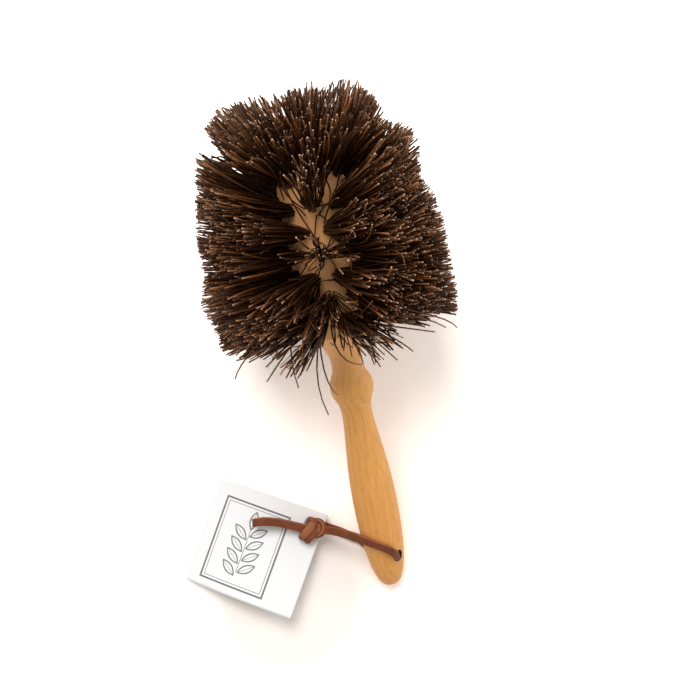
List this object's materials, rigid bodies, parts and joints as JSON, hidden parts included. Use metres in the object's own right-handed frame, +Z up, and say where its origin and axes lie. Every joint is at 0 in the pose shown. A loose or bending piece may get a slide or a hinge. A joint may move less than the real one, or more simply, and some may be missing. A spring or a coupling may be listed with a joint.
{
  "type": "flowerpot brush",
  "caption": "Round-headed scrubbing brush with a turned wooden handle, staggered tufts of stiff plant fibre, a knotted leather hanging thong and a folded card tag.",
  "frame": {"origin": "on the table, below the middle of the brush without its thong and tag", "axes": "+Z up from the table, +Y from the grip towards the nose of the head, +X to the right seen from the grip"},
  "size_m": [0.1608, 0.2524, 0.1339],
  "materials": {
    "oiled_beech": "oiled, satin, with fine lengthwise flecks",
    "plant_fibre": "stiff dark fibre with a waxy sheen and pale cut tips",
    "thong_leather": "waxed, reddish brown",
    "tag_card": "uncoated white card"
  },
  "bodies": {
    "brush": {"turned_body": "oiled_beech", "bristles_rear": "plant_fibre", "bristles_middle": "plant_fibre", "bristles_front": "plant_fibre", "bristles_nose": "plant_fibre", "thong_in_hole": "thong_leather", "thong_upper": "thong_leather", "thong_lower": "thong_leather", "thong_knot": "thong_leather", "thong_tail_upper": "thong_leather", "thong_tail_lower": "thong_leather"},
    "tag": {"hang_tag": "tag_card"}
  },
  "joints": [
    {"name": "tag_swivel", "type": "hinge", "parent": "brush", "child": "tag", "pos_m": [-0.03378, -0.08483, 0.00448], "axis": [0, 0, 1], "range_deg": [-40, 60]}
  ]
}
